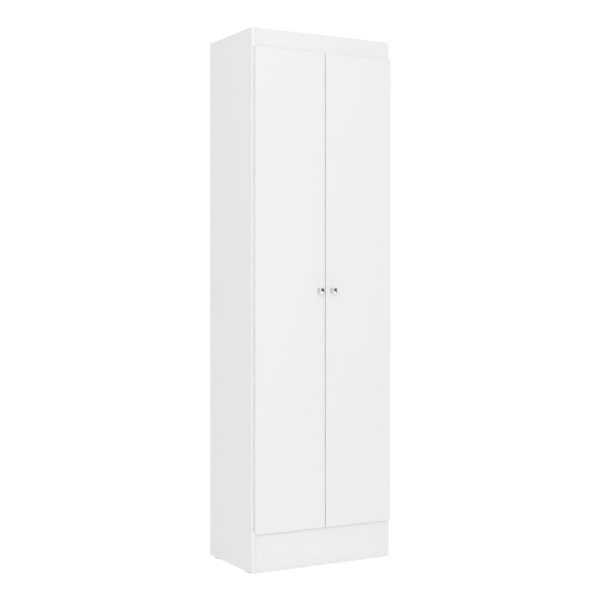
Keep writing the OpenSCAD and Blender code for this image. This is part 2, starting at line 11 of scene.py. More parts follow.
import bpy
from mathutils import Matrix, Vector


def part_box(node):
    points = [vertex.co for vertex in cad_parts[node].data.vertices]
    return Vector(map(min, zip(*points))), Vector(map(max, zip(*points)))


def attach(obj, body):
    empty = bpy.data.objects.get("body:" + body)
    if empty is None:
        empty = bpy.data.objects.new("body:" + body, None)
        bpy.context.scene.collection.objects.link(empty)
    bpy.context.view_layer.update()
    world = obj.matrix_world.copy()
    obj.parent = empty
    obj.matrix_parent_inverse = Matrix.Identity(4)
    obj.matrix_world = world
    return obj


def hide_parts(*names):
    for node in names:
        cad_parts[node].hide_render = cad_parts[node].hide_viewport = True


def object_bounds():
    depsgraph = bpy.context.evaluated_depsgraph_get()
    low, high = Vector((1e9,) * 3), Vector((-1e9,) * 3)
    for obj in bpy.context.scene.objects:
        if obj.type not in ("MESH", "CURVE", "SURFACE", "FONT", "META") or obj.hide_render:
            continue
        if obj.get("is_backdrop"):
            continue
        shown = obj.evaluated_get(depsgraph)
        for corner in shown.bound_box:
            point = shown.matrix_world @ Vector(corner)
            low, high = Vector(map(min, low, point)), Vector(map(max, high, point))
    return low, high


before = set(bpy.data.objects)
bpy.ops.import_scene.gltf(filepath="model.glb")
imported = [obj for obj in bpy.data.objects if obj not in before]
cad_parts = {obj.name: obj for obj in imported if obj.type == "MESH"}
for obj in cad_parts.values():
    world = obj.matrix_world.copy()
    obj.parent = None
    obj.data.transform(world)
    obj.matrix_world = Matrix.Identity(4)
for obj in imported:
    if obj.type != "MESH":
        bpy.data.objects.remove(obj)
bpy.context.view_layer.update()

# %% The shop's tools
import math

import bmesh
import bpy
from mathutils import Matrix, Vector

MM = 0.001
SIDES = ("left", "right")

# %% [markdown]
# ## Camera, floor and light
#
# Furniture is usually pictured from a little to one side, so that a flank gives the depth, and
# with a level camera, so that upright edges stay upright. A lens about one and a half times as
# long as a normal one keeps the top and bottom boards from flaring. The camera is placed from
# the cabinet's front left edge, because that edge is the nearest one.

# %% Set up the camera
LINE_OF_SIGHT = math.radians(29.38)   # turned this far to the right of straight on
EYE_HEIGHT = 0.954
NEAR_EDGE_AHEAD = 3.9908              # distance of the near edge along the line of sight
NEAR_EDGE_LEFT = 0.1583               # and how far it is to the left of that line

near_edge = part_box("left_side_panel")[0].xy
ahead = Vector((math.sin(LINE_OF_SIGHT), math.cos(LINE_OF_SIGHT)))
across = Vector((ahead.y, -ahead.x))
eye = near_edge - ahead * NEAR_EDGE_AHEAD + across * NEAR_EDGE_LEFT
lens = bpy.data.cameras.new("camera")
lens.lens = 72.97
lens.sensor_width = 36
lens.shift_y = -0.0258
lens.clip_end = 100
camera = bpy.data.objects.new("camera", lens)
camera.location = (eye.x, eye.y, EYE_HEIGHT)
camera.rotation_euler = (math.radians(90), 0, -LINE_OF_SIGHT)
bpy.context.scene.collection.objects.link(camera)
bpy.context.scene.camera = camera
print("camera at", [round(v, 3) for v in camera.location])

# %% [markdown]
# White furniture on a white ground needs even light from everywhere and a little more from the
# front. If every side gets the same light, the edges vanish; if one side gets much more, the
# white turns grey on the others. So a pale sky lights the room, and two wide soft lamps, one
# well to the front left and one above, add the small difference between the faces.
#
# Polished metal only looks like metal when it has something dark to mirror. For mirrored rays
# the sky is therefore dark just above the horizon on the right, as a real studio is, while to
# the left and straight ahead they meet one bright card.

# %% Helpers for node trees
def node(tree, kind, **settings):
    """Adds a node; settings name its properties, or its input sockets by number or name."""
    made = tree.nodes.new(kind)
    for key, value in settings.items():
        if key.startswith("in_"):
            name = key[3:]
            socket = int(name) if name.isdigit() else name.replace("_", " ")
            made.inputs[socket].default_value = value
        else:
            setattr(made, key, value)
    return made


def wire(tree, source, target):
    tree.links.new(source, target)


def maths(tree, operation, first, second=None, clamp=False):
    """A Math node on sockets or plain numbers; returns its output socket."""
    made = node(tree, "ShaderNodeMath", operation=operation, use_clamp=clamp)
    for slot, value in enumerate((first, second)):
        if value is None:
            continue
        if isinstance(value, (int, float)):
            made.inputs[slot].default_value = value
        else:
            wire(tree, value, made.inputs[slot])
    return made.outputs[0]


def colour_ramp(ramp, stops):
    """Sets a ramp's stops from (place, (r, g, b)), first and last at its two own elements."""
    for element, (place, colour) in zip(ramp.elements, (stops[0], stops[-1])):
        element.position, element.color = place, (*colour, 1)
    for place, colour in stops[1:-1]:
        ramp.elements.new(place).color = (*colour, 1)


def grey_ramp(ramp, stops):
    colour_ramp(ramp, [(place, (grey, grey, grey)) for place, grey in stops])


# %% Light the room
SKY = 0.625          # strength of the even light
BACKDROP = 1.05      # what the camera sees behind everything
REFLECTOR = 1.25     # the bright card, in mirrored rays only
MIRRORED_SKY = ((0.47, 1.5), (0.49, 0.07), (0.56, 0.09), (0.80, 1.0))   # height, brightness


def make_sky():
    world = bpy.data.worlds.new("studio")
    world.use_nodes = True
    tree = world.node_tree
    tree.nodes.clear()
    toward = node(tree, "ShaderNodeTexCoord")
    split = node(tree, "ShaderNodeSeparateXYZ")
    wire(tree, toward.outputs["Generated"], split.inputs[0])
    level = maths(tree, "MULTIPLY_ADD", split.outputs["Z"], 0.5)
    level.node.inputs[2].default_value = 0.5
    height = node(tree, "ShaderNodeValToRGB")
    grey_ramp(height.color_ramp, MIRRORED_SKY)
    wire(tree, level, height.inputs[0])
    beside = node(tree, "ShaderNodeMapRange", in_1=0.50, in_2=0.12)
    wire(tree, split.outputs["X"], beside.inputs[0])
    mirrored = node(tree, "ShaderNodeMix", data_type="RGBA")
    mirrored.inputs[7].default_value = (REFLECTOR, REFLECTOR, REFLECTOR, 1)
    wire(tree, beside.outputs[0], mirrored.inputs[0])
    wire(tree, height.outputs[0], mirrored.inputs[6])
    even = node(tree, "ShaderNodeBackground", in_Color=(1, 1, 1, 1), in_Strength=SKY)
    glossy = node(tree, "ShaderNodeBackground")
    wire(tree, mirrored.outputs[2], glossy.inputs["Color"])
    plain = node(tree, "ShaderNodeBackground", in_Color=(1, 1, 1, 1), in_Strength=BACKDROP)
    path = node(tree, "ShaderNodeLightPath")
    first = node(tree, "ShaderNodeMixShader")
    second = node(tree, "ShaderNodeMixShader")
    wire(tree, path.outputs["Is Glossy Ray"], first.inputs[0])
    wire(tree, even.outputs[0], first.inputs[1])
    wire(tree, glossy.outputs[0], first.inputs[2])
    wire(tree, path.outputs["Is Camera Ray"], second.inputs[0])
    wire(tree, first.outputs[0], second.inputs[1])
    wire(tree, plain.outputs[0], second.inputs[2])
    out = node(tree, "ShaderNodeOutputWorld")
    wire(tree, second.outputs[0], out.inputs[0])
    return world


bpy.context.scene.world = make_sky()
bpy.context.scene.view_settings.view_transform = "Standard"


def soft_lamp(name, place, look_at, width, height, power):
    lamp = bpy.data.lights.new(name, "AREA")
    lamp.shape = "RECTANGLE"
    lamp.size = width
    lamp.size_y = height
    lamp.energy = power
    held = bpy.data.objects.new(name, lamp)
    held.location = place
    held.rotation_euler = (Vector(look_at) - Vector(place)).to_track_quat("-Z", "Y").to_euler()
    held.visible_glossy = False
    bpy.context.scene.collection.objects.link(held)
    return held


soft_lamp("front_lamp", (-4.3, -7.2, 3.0), (0, 0, 0.9), 5.5, 4.5, 266)
soft_lamp("top_lamp", (-0.4, -1.2, 5.0), (0, 0, 0.6), 4.0, 4.0, 14)

# %% [markdown]
# The floor is a wide pale sheet. A plain white surface under white light would still come out
# grey, so what the camera sees of it glows, as a translucent light table does, and only a trace
# of shadow is left. What the cabinet sees of it doesn't glow, or its lower half would turn
# brighter than its top. From underneath the sheet is clear, so that the cabinet's feet can be
# looked at from below.

# %% Lay the floor
FLOOR_GLOW = 0.78       # as the camera sees it
FLOOR_MIRRORED = 0.7    # as polished metal mirrors it


def pale_sheet():
    finish = bpy.data.materials.new("pale_floor")
    finish.use_nodes = True
    tree = finish.node_tree
    shader = tree.nodes["Principled BSDF"]
    shader.inputs["Roughness"].default_value = 0.9
    shader.inputs["Specular IOR Level"].default_value = 0.1
    shader.inputs["Emission Color"].default_value = (1, 1, 1, 1)
    seen = node(tree, "ShaderNodeLightPath")
    glow = maths(tree, "MULTIPLY", seen.outputs["Is Camera Ray"], FLOOR_GLOW)
    mirrored = maths(tree, "MULTIPLY", seen.outputs["Is Glossy Ray"], FLOOR_MIRRORED)
    wire(tree, maths(tree, "ADD", glow, mirrored), shader.inputs["Emission Strength"])
    place = node(tree, "ShaderNodeTexCoord")
    grain = node(tree, "ShaderNodeTexNoise", in_Scale=6.0, in_Detail=4.0)
    tone = node(tree, "ShaderNodeValToRGB")
    grey_ramp(tone.color_ramp, ((0.0, 0.93), (1.0, 0.95)))
    wire(tree, place.outputs["Object"], grain.inputs["Vector"])
    wire(tree, grain.outputs["Fac"], tone.inputs[0])
    wire(tree, tone.outputs[0], shader.inputs["Base Color"])
    underside = node(tree, "ShaderNodeNewGeometry")
    clear = node(tree, "ShaderNodeBsdfTransparent")
    either = node(tree, "ShaderNodeMixShader")
    wire(tree, underside.outputs["Backfacing"], either.inputs[0])
    wire(tree, shader.outputs[0], either.inputs[1])
    wire(tree, clear.outputs[0], either.inputs[2])
    wire(tree, either.outputs[0], tree.nodes["Material Output"].inputs["Surface"])
    return finish


def lay_floor(reach=10.0):
    sheet = bpy.data.meshes.new("floor")
    corners = [(-reach, -reach, 0), (reach, -reach, 0), (reach, reach, 0), (-reach, reach, 0)]
    sheet.from_pydata(corners, [], [(0, 1, 2, 3)])
    laid = bpy.data.objects.new("floor", sheet)
    sheet.materials.append(pale_sheet())
    bpy.context.scene.collection.objects.link(laid)
    laid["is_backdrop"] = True
    return laid


lay_floor()

# %% [markdown]
# ## Shared finishes
#
# Several materials show the same small effects: a matt break along the edges where hands and
# cloths rub, dust that settles on what faces up, the faint grain of a pressed sheet, and the
# hair-fine marks of brushed metal. Each effect is one shader node group with its own inputs, so
# that it is built once and set differently wherever it is used. The groups only hand out masks,
# values and heights. The shader itself stays in each material.

# %% A helper for shader groups
def shader_group(name, inputs, outputs):
    """A new shader group with the named float inputs, {name: value}, and outputs."""
    group = bpy.data.node_groups.new(name, "ShaderNodeTree")
    for label, value in inputs.items():
        kind = "NodeSocketVector" if label in ("Place",) else "NodeSocketFloat"
        socket = group.interface.new_socket(name=label, in_out="INPUT", socket_type=kind)
        if kind == "NodeSocketFloat":
            socket.default_value = value
    for label in outputs:
        group.interface.new_socket(name=label, in_out="OUTPUT", socket_type="NodeSocketFloat")
    return group, node(group, "NodeGroupInput"), node(group, "NodeGroupOutput")


# %% Edge rub
def make_edge_rub():
    """Mask of the edges: where a rounded normal leaves the true one, broken up by a noise."""
    group, given, gives = shader_group(
        "edge_rub", {"Place": None, "Width": 0.8 * MM, "Break": 60.0, "Amount": 1.0}, ["Mask"])
    rounded = node(group, "ShaderNodeBevel", samples=4)
    wire(group, given.outputs["Width"], rounded.inputs["Radius"])
    surface = node(group, "ShaderNodeNewGeometry")
    turned = node(group, "ShaderNodeVectorMath", operation="DOT_PRODUCT")
    wire(group, rounded.outputs[0], turned.inputs[0])
    wire(group, surface.outputs["True Normal"], turned.inputs[1])
    bend = maths(group, "SUBTRACT", 1.0, turned.outputs["Value"], clamp=True)
    patches = node(group, "ShaderNodeTexNoise", in_Detail=3.0, in_Roughness=0.6)
    wire(group, given.outputs["Place"], patches.inputs["Vector"])
    wire(group, given.outputs["Break"], patches.inputs["Scale"])
    broken = node(group, "ShaderNodeMapRange", in_1=0.35, in_2=0.7)
    wire(group, patches.outputs["Fac"], broken.inputs[0])
    edge = maths(group, "MULTIPLY", bend, 5.0, clamp=True)
    both = maths(group, "MULTIPLY", edge, broken.outputs[0])
    shown = maths(group, "MULTIPLY", both, given.outputs["Amount"], clamp=True)
    wire(group, shown, gives.inputs["Mask"])
    return group


EDGE_RUB = make_edge_rub()


# %% Settled dust
def make_dust():
    """Mask of the dust on what faces up, thicker in slow patches."""
    group, given, gives = shader_group("settled_dust", {"Place": None, "Amount": 1.0}, ["Mask"])
    surface = node(group, "ShaderNodeNewGeometry")
    parts = node(group, "ShaderNodeSeparateXYZ")
    wire(group, surface.outputs["Normal"], parts.inputs[0])
    upward = node(group, "ShaderNodeMapRange", in_1=0.6, in_2=1.0)
    wire(group, parts.outputs["Z"], upward.inputs[0])
    drifts = node(group, "ShaderNodeTexNoise", in_Scale=14.0, in_Detail=5.0, in_Roughness=0.65)
    specks = node(group, "ShaderNodeTexNoise", in_Scale=900.0, in_Detail=2.0)
    for texture in (drifts, specks):
        wire(group, given.outputs["Place"], texture.inputs["Vector"])
    thick = maths(group, "MULTIPLY", drifts.outputs["Fac"], specks.outputs["Fac"])
    lying = maths(group, "MULTIPLY", thick, upward.outputs[0])
    shown = maths(group, "MULTIPLY", lying, given.outputs["Amount"], clamp=True)
    wire(group, shown, gives.inputs["Mask"])
    return group


SETTLED_DUST = make_dust()


# %% Sheet grain
def make_sheet_grain():
    """The pressed sheet: a slow drift of tone, and the height of its fine pebbled texture."""
    group, given, gives = shader_group(
        "sheet_grain", {"Place": None, "Drift": 3.0, "Pebble": 1500.0}, ["Tone", "Height"])
    slow = node(group, "ShaderNodeTexNoise", in_Detail=3.0, in_Roughness=0.5)
    wire(group, given.outputs["Drift"], slow.inputs["Scale"])
    fine = node(group, "ShaderNodeTexNoise", in_Detail=2.0, in_Roughness=0.55)
    wire(group, given.outputs["Pebble"], fine.inputs["Scale"])
    fleck = node(group, "ShaderNodeTexNoise", in_Scale=260.0, in_Detail=2.0)
    for texture in (slow, fine, fleck):
        wire(group, given.outputs["Place"], texture.inputs["Vector"])
    tone = maths(group, "ADD", maths(group, "MULTIPLY", slow.outputs["Fac"], 0.7),
                 maths(group, "MULTIPLY", fleck.outputs["Fac"], 0.3))
    wire(group, tone, gives.inputs["Tone"])
    wire(group, fine.outputs["Fac"], gives.inputs["Height"])
    return group


SHEET_GRAIN = make_sheet_grain()


# %% Brush marks
def make_brush_marks():
    """Fine marks drawn out along one direction; Place is stretched before it comes in."""
    group, given, gives = shader_group(
        "brush_marks", {"Place": None, "Fineness": 1200.0}, ["Tone", "Height"])
    marks = node(group, "ShaderNodeTexNoise", in_Detail=4.0, in_Roughness=0.7)
    wire(group, given.outputs["Place"], marks.inputs["Vector"])
    wire(group, given.outputs["Fineness"], marks.inputs["Scale"])
    cloudy = node(group, "ShaderNodeTexNoise", in_Scale=45.0, in_Detail=2.0)
    wire(group, given.outputs["Place"], cloudy.inputs["Vector"])
    wire(group, maths(group, "ADD", maths(group, "MULTIPLY", marks.outputs["Fac"], 0.6),
                      maths(group, "MULTIPLY", cloudy.outputs["Fac"], 0.4)), gives.inputs["Tone"])
    wire(group, marks.outputs["Fac"], gives.inputs["Height"])
    return group


BRUSH_MARKS = make_brush_marks()


# %% Scuffs near the floor
def make_floor_scuffs():
    """Mask of the marks that mops and shoes leave on the lowest hand's breadth."""
    group, given, gives = shader_group("floor_scuffs", {"Place": None, "Reach": 0.11}, ["Mask"])
    parts = node(group, "ShaderNodeSeparateXYZ")
    wire(group, given.outputs["Place"], parts.inputs[0])
    low_down = node(group, "ShaderNodeMapRange", in_2=0.0)
    wire(group, parts.outputs["Z"], low_down.inputs[0])
    wire(group, given.outputs["Reach"], low_down.inputs[1])
    flattened = node(group, "ShaderNodeMapping")
    flattened.inputs["Scale"].default_value = (1.0, 1.0, 9.0)
    wire(group, given.outputs["Place"], flattened.inputs["Vector"])
    streaks = node(group, "ShaderNodeTexNoise", in_Scale=16.0, in_Detail=5.0, in_Roughness=0.65)
    wire(group, flattened.outputs[0], streaks.inputs["Vector"])
    rare = node(group, "ShaderNodeMapRange", in_1=0.52, in_2=0.74)
    wire(group, streaks.outputs["Fac"], rare.inputs[0])
    marks = maths(group, "MULTIPLY", low_down.outputs[0], rare.outputs[0], clamp=True)
    wire(group, marks, gives.inputs["Mask"])
    return group


FLOOR_SCUFFS = make_floor_scuffs()
print("shader groups", [g.name for g in bpy.data.node_groups])


# %% [markdown]
# A finish is easiest to read when every material is built in the same order: place the pattern
# on the piece with Object coordinates, mix the colour, then the roughness, then the bump. A
# small class keeps that order and hides the wiring.

# %% A bench for building finishes
class Finish:
    """One material under construction. Its methods wire a step and return a socket."""

    def __init__(self, name, **plain):
        self.material = bpy.data.materials.new(name)
        self.material.use_nodes = True
        self.tree = self.material.node_tree
        self.shader = self.tree.nodes["Principled BSDF"]
        self.place = node(self.tree, "ShaderNodeTexCoord").outputs["Object"]
        for label, value in plain.items():
            self.shader.inputs[label.replace("_", " ")].default_value = value

    def stretched(self, scale):
        """The pattern's place, drawn out along one axis."""
        mapping = node(self.tree, "ShaderNodeMapping")
        mapping.inputs["Scale"].default_value = scale
        wire(self.tree, self.place, mapping.inputs["Vector"])
        return mapping.outputs[0]

    def effect(self, group, place=None, **values):
        made = node(self.tree, "ShaderNodeGroup")
        made.node_tree = group
        wire(self.tree, place or self.place, made.inputs["Place"])
        for label, value in values.items():
            made.inputs[label].default_value = value
        return made.outputs

    def mix(self, factor, low, high):
        """Two colours mixed by a mask; either may be a socket or (r, g, b)."""
        made = node(self.tree, "ShaderNodeMix", data_type="RGBA")
        wire(self.tree, factor, made.inputs[0])
        for slot, colour in ((6, low), (7, high)):
            if isinstance(colour, tuple):
                made.inputs[slot].default_value = (*colour, 1)
            else:
                wire(self.tree, colour, made.inputs[slot])
        return made.outputs[2]

    def between(self, factor, low, high):
        """A number that runs from low to high as the mask does."""
        made = node(self.tree, "ShaderNodeMapRange", in_3=low, in_4=high)
        wire(self.tree, factor, made.inputs[0])
        return made.outputs[0]

    def noise(self, scale, detail=2.0, roughness=0.5, place=None):
        made = node(self.tree, "ShaderNodeTexNoise", in_Scale=scale, in_Detail=detail,
                    in_Roughness=roughness)
        wire(self.tree, place or self.place, made.inputs["Vector"])
        return made.outputs["Fac"]

    def cells(self, scale, place=None, feature="F1", output="Color"):
        made = node(self.tree, "ShaderNodeTexVoronoi", feature=feature, in_Scale=scale)
        wire(self.tree, place or self.place, made.inputs["Vector"])
        return made.outputs[output]

    def colour(self, socket):
        wire(self.tree, socket, self.shader.inputs["Base Color"])

    def roughness(self, socket):
        wire(self.tree, socket, self.shader.inputs["Roughness"])

    def bump(self, height, strength, distance):
        made = node(self.tree, "ShaderNodeBump", in_Strength=strength, in_Distance=distance)
        wire(self.tree, height, made.inputs["Height"])
        wire(self.tree, made.outputs[0], self.shader.inputs["Normal"])


# %% [markdown]
# ### White melamine
#
# The faces of the boards are white paper soaked in resin and pressed between steel plates. The
# white is neutral and even, but never perfectly flat: it drifts a little over a metre, and a
# fine pebbled texture breaks the reflection. Corners that are touched turn slightly grey.

# %% Melamine faces
def melamine(name, white, rub_grey, gloss):
    f = Finish(name, IOR=1.5)
    grain = f.effect(SHEET_GRAIN, Drift=2.2, Pebble=1400.0)
    rub = f.effect(EDGE_RUB, Width=1.1 * MM, Break=45.0, Amount=0.55)
    dust = f.effect(SETTLED_DUST, Amount=0.35)
    sheet = f.mix(grain["Tone"], tuple(c * 0.985 for c in white),
                  tuple(min(1, c * 1.012) for c in white))
    rubbed = f.mix(rub["Mask"], sheet, rub_grey)
    scuffs = f.effect(FLOOR_SCUFFS)["Mask"]
    marked = f.mix(scuffs, rubbed, tuple(c * 0.93 for c in white))
    f.colour(f.mix(dust["Mask"], marked, (0.60, 0.59, 0.57)))
    smears = f.noise(7.0, 4.0, 0.6)
    worn = maths(f.tree, "ADD", f.between(smears, gloss - 0.06, gloss + 0.08),
                 maths(f.tree, "MULTIPLY", maths(f.tree, "ADD", rub["Mask"], scuffs), 0.15))
    f.roughness(worn)
    f.bump(grain["Height"], 0.22, 0.08 * MM)
    return f.material


WHITE_FACE = melamine("white_melamine", (0.872, 0.872, 0.870), (0.74, 0.74, 0.73), 0.42)

# %% [markdown]
# The front edges carry a plastic band 0.8 mm thick. It is drawn out of a die, so it has faint
# lines along its length, and it is a little glossier than the faces. Under it, a hair of glue
# shows as a grey line.

# %% Edge band and glue line
def edge_band(name, white):
    f = Finish(name, IOR=1.5, Subsurface_Weight=0.8, Subsurface_Scale=2.5 * MM,
               Subsurface_Radius=(1, 1, 1))
    drawn = f.effect(BRUSH_MARKS, f.stretched((1.0, 1.0, 0.02)), Fineness=1500.0)
    rub = f.effect(EDGE_RUB, Width=0.9 * MM, Break=70.0, Amount=0.35)
    band = f.mix(drawn["Tone"], tuple(c * 0.98 for c in white), white)
    f.colour(f.mix(rub["Mask"], band, (0.72, 0.72, 0.71)))
    f.roughness(f.between(drawn["Tone"], 0.30, 0.42))
    f.bump(drawn["Height"], 0.12, 0.03 * MM)
    return f.material


def glue_line():
    f = Finish("glue_line", IOR=1.45)
    f.colour(f.mix(f.noise(300.0, 3.0), (0.62, 0.60, 0.56), (0.74, 0.73, 0.70)))
    f.roughness(f.between(f.noise(500.0), 0.4, 0.7))
    f.bump(f.noise(900.0), 0.2, 0.05 * MM)
    return f.material


# The carcass band is a whiter copy of the door band. Its extra white is a painted highlight along
# the carcass front edges, the bright line that light leaves there.
CARCASS_BAND_PAINTED_HIGHLIGHT = edge_band("white_edge_band_painted_highlight", (0.92, 0.92, 0.917))
DOOR_BAND = edge_band("white_door_band", (0.875, 0.875, 0.872))
GLUE_LINE = glue_line()

# %% [markdown]
# Where a board is drilled or left unbanded, the chipboard shows: flat flakes of spruce in two
# or three browns, darker gaps of resin between them, and a rough, torn surface.

# %% Bare chipboard
def chipboard():
    f = Finish("bare_chipboard", IOR=1.45)
    flat = f.stretched((1.0, 1.0, 2.4))
    flakes = f.cells(380.0, flat)
    tones = node(f.tree, "ShaderNodeValToRGB")
    colour_ramp(tones.color_ramp, ((0.0, (0.30, 0.19, 0.10)), (0.45, (0.50, 0.35, 0.21)),
                                   (0.75, (0.60, 0.44, 0.27)), (1.0, (0.66, 0.50, 0.33))))
    grey = node(f.tree, "ShaderNodeRGBToBW")
    wire(f.tree, flakes, grey.inputs[0])
    wire(f.tree, grey.outputs[0], tones.inputs[0])
    gaps = f.cells(380.0, flat, "DISTANCE_TO_EDGE", "Distance")
    shut = node(f.tree, "ShaderNodeMapRange", in_1=0.0, in_2=0.09)
    wire(f.tree, gaps, shut.inputs[0])
    f.colour(f.mix(shut.outputs[0], (0.17, 0.11, 0.06), tones.outputs[0]))
    f.roughness(f.between(f.noise(600.0), 0.75, 0.95))
    f.bump(f.noise(520.0, 4.0, 0.7), 0.6, 0.3 * MM)
    return f.material


CHIPBOARD = chipboard()

# %% [markdown]
# The back panels are 3 mm hardboard. The inner face has a white lacquer. The outer face is
# bare brown fibre with the print of the wire mesh that it was pressed on.

# %% Hardboard
def hardboard_back():
    f = Finish("brown_fibre_back", IOR=1.45)
    fibre = f.noise(140.0, 6.0, 0.75)
    slow = f.noise(5.0, 4.0, 0.6)
    shreds = f.noise(90.0, 3.0, 0.6, f.stretched((1.0, 1.0, 0.25)))
    brown = f.mix(fibre, (0.20, 0.115, 0.06), (0.46, 0.31, 0.19))
    worked = f.mix(f.between(shreds, 0.0, 0.5), brown, (0.50, 0.36, 0.23))
    f.colour(f.mix(f.between(slow, 0.0, 0.7), worked, (0.27, 0.17, 0.10)))
    f.roughness(f.between(fibre, 0.7, 0.9))
    warp = node(f.tree, "ShaderNodeTexWave", wave_type="BANDS", bands_direction="X", in_Scale=210.0)
    weft = node(f.tree, "ShaderNodeTexWave", wave_type="BANDS", bands_direction="Z", in_Scale=210.0)
    for threads in (warp, weft):
        wire(f.tree, f.place, threads.inputs["Vector"])
    f.bump(maths(f.tree, "MULTIPLY", warp.outputs["Fac"], weft.outputs["Fac"]), 0.8, 0.5 * MM)
    return f.material


FIBRE_BACK = hardboard_back()
WHITE_LACQUER = melamine("white_lacquer", (0.855, 0.855, 0.850), (0.72, 0.71, 0.69), 0.5)


# %% [markdown]
# ### Metals and plastics
#
# The knobs are polished and plated, so they mirror the room almost clearly. The hinges are
# pressed steel with a satin nickel plate. Screws, bolts and the bracket are zinc plated, which
# is bluer and cloudier. All use the same brush marks, drawn along different axes.

# %% Plated metals
def plated(name, colour, dull, rough, along=(1.0, 1.0, 0.05), fineness=900.0, depth=0.02 * MM):
    f = Finish(name, Metallic=1.0)
    marks = f.effect(BRUSH_MARKS, f.stretched(along), Fineness=fineness)
    rub = f.effect(EDGE_RUB, Width=0.5 * MM, Break=180.0, Amount=0.5)
    base = f.mix(marks["Tone"], dull, colour)
    f.colour(f.mix(rub["Mask"], base, tuple(min(1.0, c * 1.15) for c in colour)))
    f.roughness(f.between(marks["Tone"], rough[0], rough[1]))
    f.bump(marks["Height"], 0.15, depth)
    return f.material


def grey(level):
    return (level, level, level)


EVENLY = (1, 1, 1)
KNOB_METAL = plated("polished_nickel", grey(0.70), grey(0.64), (0.08, 0.15), fineness=500.0)
HINGE_STEEL = plated("nickel_plated_steel", (0.72, 0.70, 0.66), (0.62, 0.60, 0.57), (0.22, 0.36))
ZINC_PLATE = plated("zinc_plated_steel", (0.66, 0.68, 0.71), (0.54, 0.56, 0.60), (0.28, 0.46),
                    EVENLY, 300.0)
CAST_ZINC = plated("cast_zinc", (0.55, 0.56, 0.57), (0.42, 0.43, 0.44), (0.42, 0.62),
                   EVENLY, 600.0, 0.08 * MM)
NAIL_STEEL = plated("bright_nail_steel", grey(0.60), grey(0.46), (0.3, 0.5), EVENLY, 500.0)


# %% Moulded plastics and beech
def moulded(name, white, rough, soft=0.0):
    f = Finish(name, IOR=1.48, Subsurface_Weight=soft, Subsurface_Scale=0.002)
    spread = f.noise(120.0, 4.0)
    rub = f.effect(EDGE_RUB, Width=0.6 * MM, Break=120.0, Amount=0.5)
    body = f.mix(spread, tuple(c * 0.95 for c in white), white)
    f.colour(f.mix(rub["Mask"], body, (0.66, 0.65, 0.62)))
    f.roughness(f.between(spread, rough - 0.08, rough + 0.08))
    f.bump(f.noise(1100.0, 2.0), 0.15, 0.04 * MM)
    return f.material


def beech():
    f = Finish("beech", IOR=1.45)
    grain = f.noise(60.0, 5.0, 0.6, f.stretched((0.12, 1.0, 1.0)))
    pores = f.noise(700.0, 3.0, 0.6, f.stretched((0.08, 1.0, 1.0)))
    wood = f.mix(grain, (0.55, 0.36, 0.20), (0.74, 0.55, 0.36))
    f.colour(f.mix(f.between(pores, 0.0, 0.4), wood, (0.42, 0.27, 0.15)))
    f.roughness(f.between(pores, 0.55, 0.75))
    f.bump(pores, 0.3, 0.1 * MM)
    return f.material


GLIDE_PLASTIC = moulded("white_glide_plastic", (0.82, 0.82, 0.80), 0.45)
BUMPER_RUBBER = moulded("clear_bumper_rubber", (0.78, 0.78, 0.76), 0.25, 0.35)
BEECH = beech()
print("finishes", len(bpy.data.materials))

# %% [markdown]
# ## Boards
#
# A board could be modelled as a new box, but then every drilled hole would have to be cut
# again. The CAD node already has them, so a merged copy is taken and worked on as a joiner
# would: the long edges are broken by half a millimetre, the bands are laid on the sides that
# show, and each face is given to the material that the saw, the drill or the press left there.

# %% Take a board from the frame
def merged_copy(cad_node):
    """The CAD node's mesh as a bmesh, with its loose triangles joined and its flat faces whole."""
    work = bmesh.new()
    work.from_mesh(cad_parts[cad_node].data)
    bmesh.ops.remove_doubles(work, verts=work.verts, dist=2e-6)
    bmesh.ops.dissolve_limit(work, angle_limit=math.radians(0.5), verts=work.verts,
                             edges=work.edges)
    return work


def sides_of(point, low, high, near=2e-5):
    """The sides of a box, such as -y or +z, that a point lies on."""
    found = set()
    for axis, label in enumerate("xyz"):
        if abs(point[axis] - low[axis]) < near:
            found.add("-" + label)
        if abs(point[axis] - high[axis]) < near:
            found.add("+" + label)
    return found


def finished(work, name, materials, body, slot, *replaced, flat_over=15):
    """Turns a bmesh into a piece that rides on a body and stands for CAD nodes.

    Edges that turn more than flat_over degrees stay crisp; the rest shade round.
    """
    for face in work.faces:
        face.smooth = True
    for edge in work.edges:
        edge.smooth = edge.is_manifold and edge.calc_face_angle(0) < math.radians(flat_over)
    mesh = bpy.data.meshes.new(name)
    work.to_mesh(mesh)
    work.free()
    for material in materials:
        mesh.materials.append(material)
    made = bpy.data.objects.new(name, mesh)
    bpy.context.scene.collection.objects.link(made)
    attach(made, body)
    if replaced:
        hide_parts(*replaced)
    return made


# %% Finish a board
BAND = 0.8 * MM
GLUE = 0.12 * MM
BREAK = 0.5 * MM
SHEET, EDGE, GLUED, CHIPS = range(4)   # places of a board's materials
SHELVES = ("fixed_shelf", "lower_shelf_1", "lower_shelf_2", "upper_shelf_1", "upper_shelf_2")


